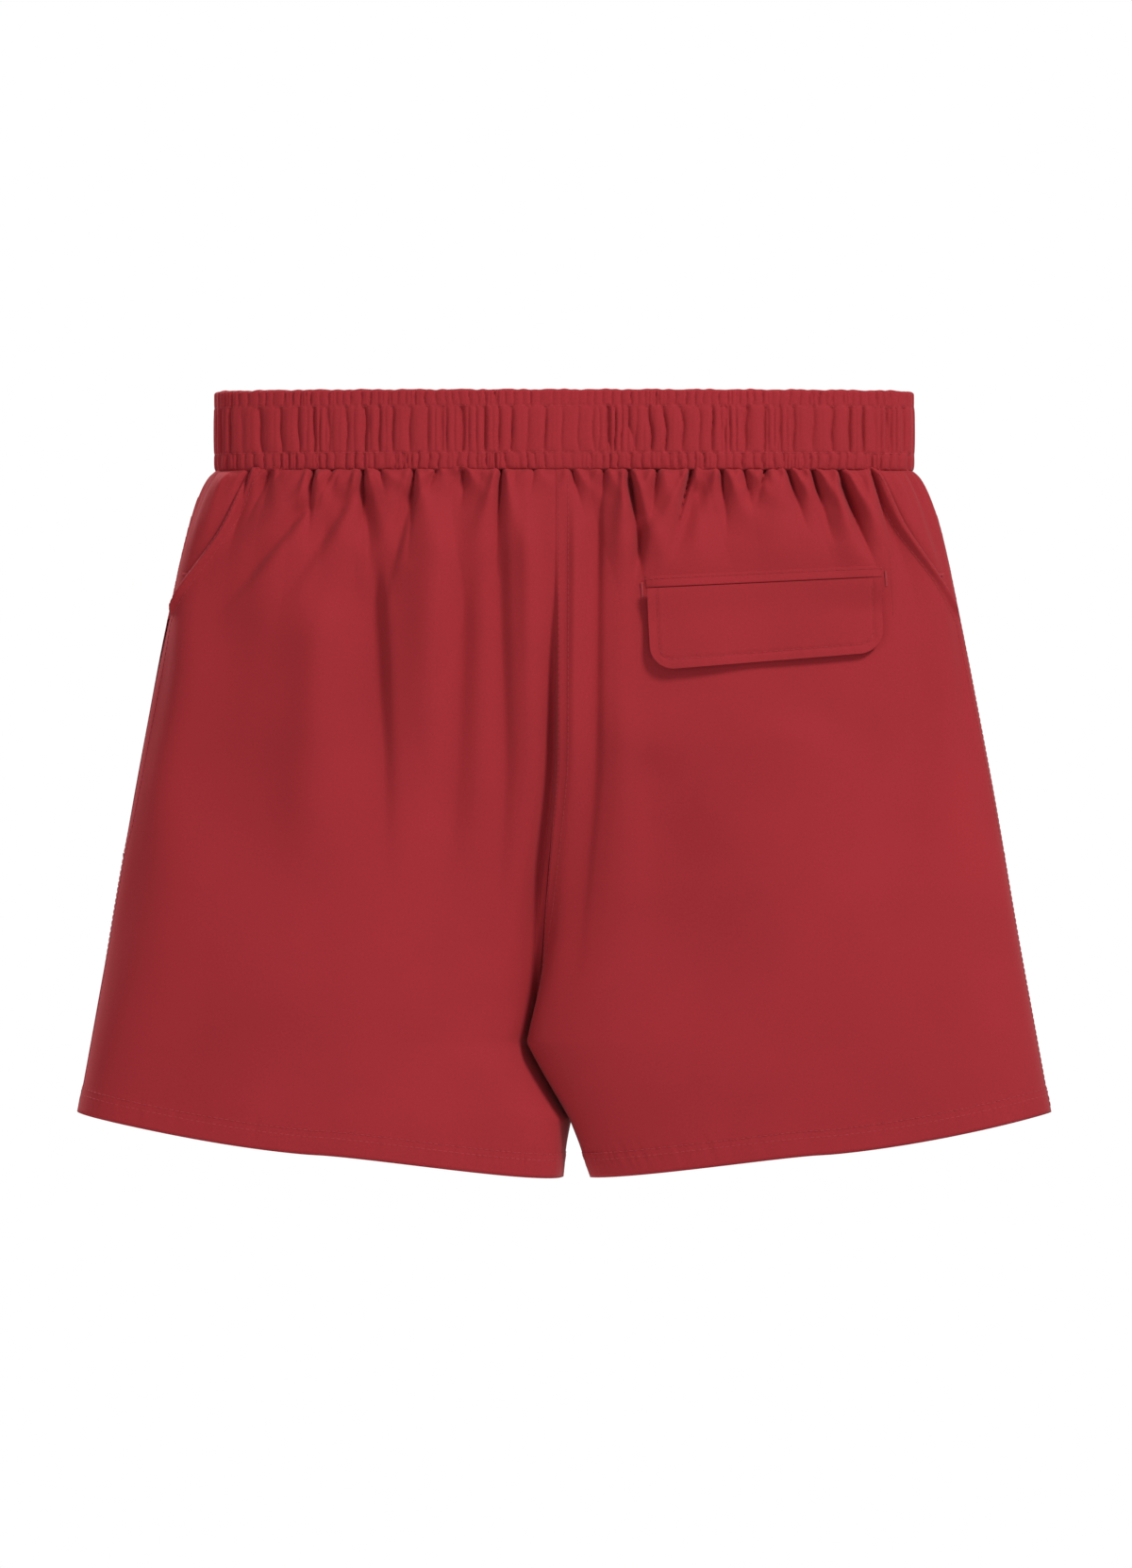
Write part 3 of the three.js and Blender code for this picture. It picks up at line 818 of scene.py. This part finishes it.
def thread(verts, faces, middle, t, length, radius):
    """Adds one short thread along t, with rounded ends."""
    a, b = across_line(t)
    first = len(verts)
    for at, size in STITCH_RINGS:
        for k in range(STITCH_SIDES):
            w = 2 * math.pi * k / STITCH_SIDES
            r = radius * size
            verts.append(middle + t * at * length + r * (math.cos(w) * a + math.sin(w) * b))
    for ring in range(len(STITCH_RINGS) - 1):
        p = first + ring * STITCH_SIDES
        for k in range(STITCH_SIDES):
            n = (k + 1) % STITCH_SIDES
            faces.append((p + k, p + n, p + n + STITCH_SIDES, p + k + STITCH_SIDES))
    faces.append(tuple(first + k for k in reversed(range(STITCH_SIDES))))
    last = first + (len(STITCH_RINGS) - 1) * STITCH_SIDES
    faces.append(tuple(last + k for k in range(STITCH_SIDES)))


def stitches(name, lines, length=2.3 * MM, pitch=3.0 * MM, radius=0.14 * MM):
    """Short rounded threads laid along lines of points, as one mesh."""
    verts, faces = [], []
    for line in lines:
        line = np.asarray(line)
        far = np.concatenate([[0], np.cumsum(np.linalg.norm(np.diff(line, axis=0), axis=1))])
        for s in np.arange(pitch / 2, far[-1] - pitch / 3, pitch):
            start, end = [
                np.array([np.interp(s + d, far, line[:, k]) for k in range(3)])
                for d in (-STITCH_PROBE, STITCH_PROBE)
            ]
            t = end - start
            t = t / max(np.linalg.norm(t), 1e-9)
            thread(verts, faces, (start + end) / 2, t, length, radius)
    mesh = bpy.data.meshes.new(name)
    mesh.from_pydata([tuple(v) for v in verts], [], faces)
    layer = mesh.uv_layers.new(name="cloth")
    ids = np.zeros(len(mesh.loops), int)
    mesh.loops.foreach_get("vertex_index", ids)
    co = np.array(verts)[ids]
    layer.data.foreach_set("uv", co[:, [0, 2]].astype(np.float32).ravel())
    mesh.polygons.foreach_set("use_smooth", [True] * len(mesh.polygons))
    return mesh


def band_rows():
    angle, girth = band_angles(BAND_COLUMNS)
    u = np.arange(BAND_COLUMNS) * girth / BAND_COLUMNS
    lines = []
    for drop in (ROW_UPPER, ROW_LOWER):
        x, y = band_surface(angle, u, drop + 0 * u, 0.1 * MM)
        lines.append(np.stack([x, y, -drop + 0 * x], axis=-1))
    return lines


def hem_rows():
    lines = []
    for side in (LEFT, RIGHT):
        for face in (BACK, FRONT):
            turn = np.linspace(0.01, math.pi - 0.01, 500) * face
            for row in HEM_ROWS:
                drop = BAND_HEIGHT + hem_drop(turn) - row
                lines.append(shell(side, turn, drop, THREAD_LIFT, face))
    return lines


def centre_rows():
    drop = np.linspace(BAND_HEIGHT + 1 * MM, 330 * MM, 400)
    lines = []
    for away in (1.4 * MM, 6.4 * MM):
        for face in (BACK, FRONT):
            end = turn_beyond(RIGHT, face * math.pi + 0 * drop, drop, away, -face)
            lines.append(shell(RIGHT, end, drop, THREAD_LIFT, face))
    return lines


def side_rows():
    lines = []
    for side in (LEFT, RIGHT):
        drop = np.linspace(BAND_HEIGHT + 1 * MM, BAND_HEIGHT + SIDE_LENGTH - 3 * MM, 400)
        for away in (1.3 * MM, 6.3 * MM):
            start = turn_beyond(side, seam_turn(drop), drop, half_mouth(drop) + away, BACK)
            lines.append(shell(side, start, drop, THREAD_LIFT))
    return lines


def stitched(name, lines, body="shorts", nodes=(), **sizes):
    return piece(name, stitches(name, lines, **sizes), thread_cloth, body, nodes)


stitched("waistband_stitches", band_rows())
stitched("hem_stitches", hem_rows(), radius=0.2 * MM)
stitched("seam_stitches", centre_rows() + side_rows())


# ------------------------------------------------------------------ rear pocket and flap
def on_back(along, up, lift=0.0):
    x, drop = flap_place(along, up)
    return shell(RIGHT, turn_at(RIGHT, x, drop), drop, lift)


def rear_sheet(name, across, updown, counts, lift, cloth):
    """A sheet of the rear pocket over ranges along and above the hinge line. lift says how far it
    stands off the back at u across and v down, both 0 to 1."""
    a = np.linspace(across[0], across[1], counts[0])[None, :]
    b = np.linspace(updown[1], updown[0], counts[1])[:, None]
    u = (a - across[0]) / (across[1] - across[0]) + 0 * b
    v = (b - updown[1]) / (updown[0] - updown[1]) + 0 * a
    points = on_back(a + 0 * b, b + 0 * a, lift(u, v))
    mesh = grid_mesh(name, points, np.stack([a + 0 * b, b + 0 * a], axis=-1))
    node = name.replace("rear_", "rear_pocket_")
    return thickened(name, facing(mesh, (0, -1, 0)), cloth, [node])


def plateau(t, power):
    """0 at both ends and about 1 between them."""
    return 1 - np.abs(2 * t - 1) ** power


BAG_HALF = 62 * MM
BAG_BOTTOM = -122 * MM
WELT_TOP = 9.5 * MM
WELT_EDGE = 0.9 * MM
WELT_RISE = 2.5 * MM  # the upper welt stands off over the flap's top edge, then turns in
WELT_TURN = 2.0 * MM


def upper_welt_lift(u, v):
    rise = lerp(-0.25 * MM, WELT_RISE, v**1.5) * plateau(u, 16)
    return rise - WELT_TURN * np.clip((v - 0.88) / 0.12, 0, 1) ** 2


def lower_welt_lift(u, v):
    return lerp(0.7 * MM, 0.05 * MM, v) * plateau(u, 40)


def outer_bag_lift(u, v):
    return -1.2 * MM - 1.5 * MM * v


def inner_bag_lift(u, v):
    pouch = plateau(u, 8) * plateau(v, 8) * (10 * MM + 0.8 * MM * noise(v * 9 + 3 * u, 5))
    return -2.2 * MM - 1.5 * MM * v - pouch


upper_welt_across = (-BAG_HALF - 1 * MM, BAG_HALF + 1 * MM)
lower_welt_across = (-SLIT_WIDTH / 2 - 1 * MM, SLIT_WIDTH / 2 + 1 * MM)
lower_welt_updown = (SLIT_LOW - WELT_HEIGHT, SLIT_LOW + 1 * MM)
bag_across = (-BAG_HALF, BAG_HALF)
welt = rear_sheet(
    "rear_upper_welt", upper_welt_across, (WELT_EDGE, WELT_TOP), (130, 22), upper_welt_lift, shell_cloth
)
lower = rear_sheet(
    "rear_lower_welt", lower_welt_across, lower_welt_updown, (110, 16), lower_welt_lift, shell_cloth
)
bag_outer = rear_sheet(
    "rear_bag_outer",
    bag_across,
    (BAG_BOTTOM, SLIT_LOW - 0.5 * MM),
    (70, 60),
    outer_bag_lift,
    pocket_cloth,
)
bag_inner = rear_sheet(
    "rear_bag_inner",
    bag_across,
    (BAG_BOTTOM, 12 * MM),
    (80, 80),
    inner_bag_lift,
    pocket_cloth,
)


def flap_outline(u, v):
    """Flap coordinates: u across and v down, 0..1, to distances along and below the hinge line."""
    along = (u - 0.5) * FLAP_WIDTH
    edge = FLAP_HEIGHT - FLAP_RISE * (u - 0.5)
    into_corner = np.clip(FLAP_CORNER - np.minimum(u, 1 - u) * FLAP_WIDTH, 0, None)
    rounded = FLAP_CORNER - np.sqrt(np.clip(FLAP_CORNER**2 - into_corner**2, 0, None))
    down = v * (edge - rounded) - (1 - v) * FLAP_TOP
    return along, down


def flap():
    columns, rows = 150, 60
    # Columns crowd towards the ends, where the corners turn.
    t = np.linspace(0, 1, columns)
    u = (0.5 - 0.5 * np.cos(math.pi * t))[None, :] * 0.75 + 0.25 * t[None, :]
    v = np.linspace(0, 1, rows)[:, None]
    u, v = u + 0 * v, v + 0 * u
    along, down = flap_outline(u, v)
    low = share(down, 0, FLAP_HEIGHT)
    under = np.dot(on_back(along, -down) - np.array(PIN), np.array(HINGE_OUT))
    lift = low * (1.3 * MM + 1.2 * MM * smooth(1 - u, 0.5, 1))
    clear = under + FLAP_THICK + FLAP_CLEAR + lift  # it stands off towards its free edge
    off = lerp(0.3 * MM, clear, smooth(low, 0, 0.45))
    off = off + 0.5 * MM * np.sin(math.pi * u) * np.sin(math.pi * np.clip(v, 0, 1))
    off = off + 0.6 * MM * noise(along / (24 * MM), 12) * low
    edge_row = np.minimum(np.minimum(u, 1 - u) * FLAP_WIDTH, (1 - v) * down.max())
    from_row = edge_row - FLAP_INSET
    off = off - 0.35 * MM * np.exp(-((from_row / (1.1 * MM)) ** 2))
    off = off + 0.25 * MM * noise(along / (3 * MM), 14) * np.exp(-((from_row / (3 * MM)) ** 2))
    out = np.array(HINGE_OUT)
    base = np.array(PIN)
    points = base + along[..., None] * np.array(HINGE_ALONG) - down[..., None] * np.array(HINGE_UP)
    points = points + off[..., None] * out
    mesh = grid_mesh("flap_cloth", points, np.stack([along, -down], axis=-1))
    return facing(mesh, HINGE_OUT), along, down, off


flap_mesh, *flap_grid = flap()
flap_piece = piece("flap_cloth", flap_mesh, shell_cloth, "rear_flap", ["flap_outer", "flap_lining"])
thicken(flap_piece, FLAP_THICK)
round_edge = flap_piece.modifiers.new("edge", "BEVEL")
round_edge.width = 0.5 * MM
round_edge.segments = 3
round_edge.limit_method = "ANGLE"


def flap_edge_row():
    """The row of stitches inside the flap's free edges."""
    along, down, off = flap_grid
    inset = FLAP_INSET
    a, d = flap_outline(np.linspace(0, 1, 400), np.ones(400))
    path = np.stack([a, d], axis=-1)
    path = np.vstack([(-FLAP_WIDTH / 2, 0), path, (FLAP_WIDTH / 2, 0)])
    far = np.concatenate([[0], np.cumsum(np.hypot(*np.diff(path, axis=0).T))])
    s = np.linspace(0, far[-1], 700)
    px, py = np.interp(s, far, path[:, 0]), np.interp(s, far, path[:, 1])
    tx, ty = np.gradient(px), np.gradient(py)
    length = np.hypot(tx, ty)
    # Smooth the direction so that the row turns the corners in a round sweep.
    kernel = np.hanning(41) / np.hanning(41).sum()
    nx = np.convolve(np.pad(ty / length, 20, mode="edge"), kernel, "valid")
    ny = np.convolve(np.pad(-tx / length, 20, mode="edge"), kernel, "valid")
    qx, qy = px + nx * inset, py + ny * inset
    keep = (qy > 1.5 * MM) & (np.abs(qx) < FLAP_WIDTH / 2 - 0.8 * inset)
    qx, qy = qx[keep], qy[keep]
    tree = KDTree(along.size)
    for i, (a, d) in enumerate(zip(along.ravel(), down.ravel())):
        tree.insert((a, d, 0), i)
    tree.balance()
    heights = np.array([off.ravel()[tree.find((a, d, 0))[1]] for a, d in zip(qx, qy)])
    points = np.array(PIN) + qx[:, None] * np.array(HINGE_ALONG) - qy[:, None] * np.array(HINGE_UP)
    return points + (heights + THREAD_LIFT)[:, None] * np.array(HINGE_OUT)


edge = stitched("flap_stitches", [flap_edge_row()], "rear_flap")


def pocket_rows():
    """The row above the flap, and the short row that holds the pocket's bag beside it."""
    along = np.linspace(-BAG_HALF - 2 * MM, BAG_HALF + 2 * MM, 260)
    above = on_back(along, 6.2 * MM + 0 * along, 0.6 * MM)
    up = np.linspace(-19 * MM, 18 * MM, 90)
    beside = on_back(BAG_HALF + 5.5 * MM + 0 * up, up, 0.15 * MM)
    return [above, beside]


stitched("pocket_stitches", pocket_rows(), radius=0.11 * MM)

TACK_PITCH = 0.55 * MM
TACK_THREAD = 0.22 * MM


def bar_tack(name, centre, along, across, length, width, node):
    """A dense zigzag of thread."""
    turns = int(length / TACK_PITCH)
    line = []
    for i in range(turns * 2 + 1):
        t = i / (turns * 2) - 0.5
        sway = width / 2 if i % 2 else -width / 2
        line.append(np.array(centre) + along * t * length + across * sway)
    sizes = {"length": width * 1.1, "pitch": width * 1.02, "radius": TACK_THREAD}
    stitched(name, [line], nodes=[node], **sizes)


def rear_tack(side, word):
    at = side * (FLAP_WIDTH / 2 + 2.5 * MM)
    middle = on_back(np.array(at), np.array(0.5 * MM), np.array(0.35 * MM))
    up, along = np.array(HINGE_UP), np.array(HINGE_ALONG)
    bar_tack(f"pocket_tack_{word}", middle, up, along, 8 * MM, 1.4 * MM, f"rear_tack_{word}")


for side, word in SIDES:
    rear_tack(side, word)


# ------------------------------------------------------------------ side pockets
BAG_TOP = 98 * MM
BAG_LENGTH = 166 * MM
BAG_DEPTH = 118 * MM
BAG_GAP = 4.6 * MM
BAG_INSET = 1.8 * MM
BAG_CROSSING = 0.10
BAG_SHIFT = 1.6 * MM
BAG_REST = 0.8 * MM


def side_bag(side, face, reach, down, off, columns, rows):
    a = np.linspace(0, reach, columns)[None, :]
    b = np.linspace(down[0], down[1], rows)[:, None]
    a, b = a + 0 * b, b + 0 * a
    drop = BAG_TOP + b * BAG_LENGTH
    inset = BAG_INSET + 2.8 * MM * (1 - plateau(b, 6))
    x = side_x(drop) - inset - a * BAG_DEPTH
    ends = plateau(b, 6)
    # The plies leave the mouth's two edges; the back one crosses over and they run on together.
    near, far = BAG_GAP / 2 * ends, BAG_REST * face * ends * (1 - a**6)
    crossing = smooth(a, 0, BAG_CROSSING)
    sway = 0.9 * MM * noise(a * 7 + 2 * b, 33) * noise(b * 6, 34) * crossing * ends
    y = lerp(-face * near, BAG_SHIFT * ends - far, crossing) - face * off * ends + sway
    points = np.stack([side * x, y, -drop], axis=-1)
    return points, np.stack([a * BAG_DEPTH, -drop], axis=-1)


def side_bag_ply(side, word, face, end):
    points, uv = side_bag(side, face, 1, (0, 1), 0.1 * MM, 60, 80)
    name = f"side_{end}_bag_{word}"
    mesh = facing(grid_mesh(name, points, uv), (0, face, 0))
    o = thickened(name, mesh, pocket_cloth, [f"side_pocket_{end}_bag_{word}"])


def side_facing(side, word):
    """The strip of shell cloth on the back ply, just inside the mouth."""
    points, uv = side_bag(side, BACK, 0.375, (0.1, 0.9), -1.0 * MM, 24, 60)
    name = f"side_facing_cloth_{word}"
    mesh = facing(grid_mesh(name, points, uv), (0, 1, 0))
    o = thickened(name, mesh, shell_cloth, [f"side_pocket_facing_{word}"])


def side_tack(side, word, drop, level):
    """The bar tack across an end of the side pocket's mouth."""
    drop = np.array(drop)
    at = seam_turn(drop)
    middle = shell(side, turn_beyond(side, at, drop, 0.1 * MM, BACK), drop, 0.1 * MM)
    nx, ny = outward(side, at + 1e-4, drop)
    tangent = np.array([-float(ny), float(nx), 0])
    up = np.array([0, 0, 1.0])
    node = f"side_tack_{level}_{word}"
    bar_tack(f"side_tack_{level}_cloth_{word}", middle, tangent, up, 6 * MM, 1.6 * MM, node)


for side, word in SIDES:
    for face, end in FACES:
        side_bag_ply(side, word, face, end)
    side_facing(side, word)
    side_tack(side, word, MOUTH_TOP, "upper")
    side_tack(side, word, MOUTH_BOTTOM, "lower")


# ------------------------------------------------------------------ carried-over solids
def clothe(node, cloth):
    materials = frame["nodes"][node].data.materials
    materials.clear()
    materials.append(cloth)


clothe("waistband_elastic", elastic_cloth)
for _, word in SIDES:
    clothe(f"cord_eyelet_{word}", thread_cloth)


# ------------------------------------------------------------------ stage, lights and camera
FLOOR_DROP = 0.72  # just below the camera's view
FLOOR_SIZE = 2.6
FLOOR_FAR = 1.0  # the floor ends here, before it would rise into the view
FLOOR_GREY = 0.8


def stage_floor():
    paint = bpy.data.materials.new("floor")
    paint.use_nodes = True
    shader = paint.node_tree.nodes["Principled BSDF"]
    shader.inputs["Base Color"].default_value = (FLOOR_GREY, FLOOR_GREY, FLOOR_GREY, 1)
    shader.inputs["Roughness"].default_value = 0.9
    middle = (0, FLOOR_FAR - FLOOR_SIZE / 2, -FLOOR_DROP)
    bpy.ops.mesh.primitive_plane_add(size=FLOOR_SIZE, location=middle)
    floor = bpy.context.object
    floor.name = "floor"
    floor.data.materials.append(paint)


stage_floor()

FILL_STRENGTH = 0.31


def studio_world():
    """White where the camera looks past the shorts, and a weak even light on them."""
    world = bpy.data.worlds.new("studio")
    bpy.context.scene.world = world
    world.use_nodes = True
    nodes, links = world.node_tree.nodes, world.node_tree.links
    nodes.clear()
    out = nodes.new("ShaderNodeOutputWorld")
    seen = nodes.new("ShaderNodeBackground")
    fill = nodes.new("ShaderNodeBackground")
    for light, strength in ((seen, 1.0), (fill, FILL_STRENGTH)):
        light.inputs["Color"].default_value = (1, 1, 1, 1)
        light.inputs["Strength"].default_value = strength
    pick = nodes.new("ShaderNodeMixShader")
    ray = nodes.new("ShaderNodeLightPath")
    links.new(ray.outputs["Is Camera Ray"], pick.inputs["Fac"])
    links.new(fill.outputs["Background"], pick.inputs[1])
    links.new(seen.outputs["Background"], pick.inputs[2])
    links.new(pick.outputs["Shader"], out.inputs["Surface"])


studio_world()


def area_light(name, place, aim, size, watts):
    light = bpy.data.lights.new(name, "AREA")
    light.shape = "DISK"
    light.size = size
    light.energy = watts
    o = bpy.data.objects.new(name, light)
    bpy.context.scene.collection.objects.link(o)
    o.location = place
    o.rotation_euler = (Vector(aim) - Vector(place)).to_track_quat("-Z", "Y").to_euler()
    return o


MIDDLE = (0, 0, -0.21)
# Name, place, what it points at, size and watts.
area_light("key", (1.5, -1.5, 1.8), MIDDLE, 0.7, 67)
area_light("left_fill", (-1.8, -2.2, 0.2), MIDDLE, 1.2, 11)
area_light("front_key", (-1.5, 1.5, 1.8), MIDDLE, 0.7, 67)
area_light("front_fill", (1.8, 2.2, 0.2), MIDDLE, 1.2, 11)

LENS = 200
SENSOR = 36
FRAME_HEIGHT = 0.831  # the view's height at the shorts' side edges
VIEW_X = 0.001
VIEW_Z = -0.2085


def view_camera():
    """Square on to the back, from far away."""
    data = bpy.data.cameras.new("camera")
    data.lens = LENS
    data.sensor_width = SENSOR
    data.clip_end = 50
    camera = bpy.data.objects.new("camera", data)
    bpy.context.scene.collection.objects.link(camera)
    camera.location = (VIEW_X, -FRAME_HEIGHT * LENS / SENSOR, VIEW_Z)
    camera.rotation_euler = (math.pi / 2, 0, 0)
    bpy.context.scene.camera = camera


view_camera()
bpy.context.scene.view_settings.view_transform = "Standard"
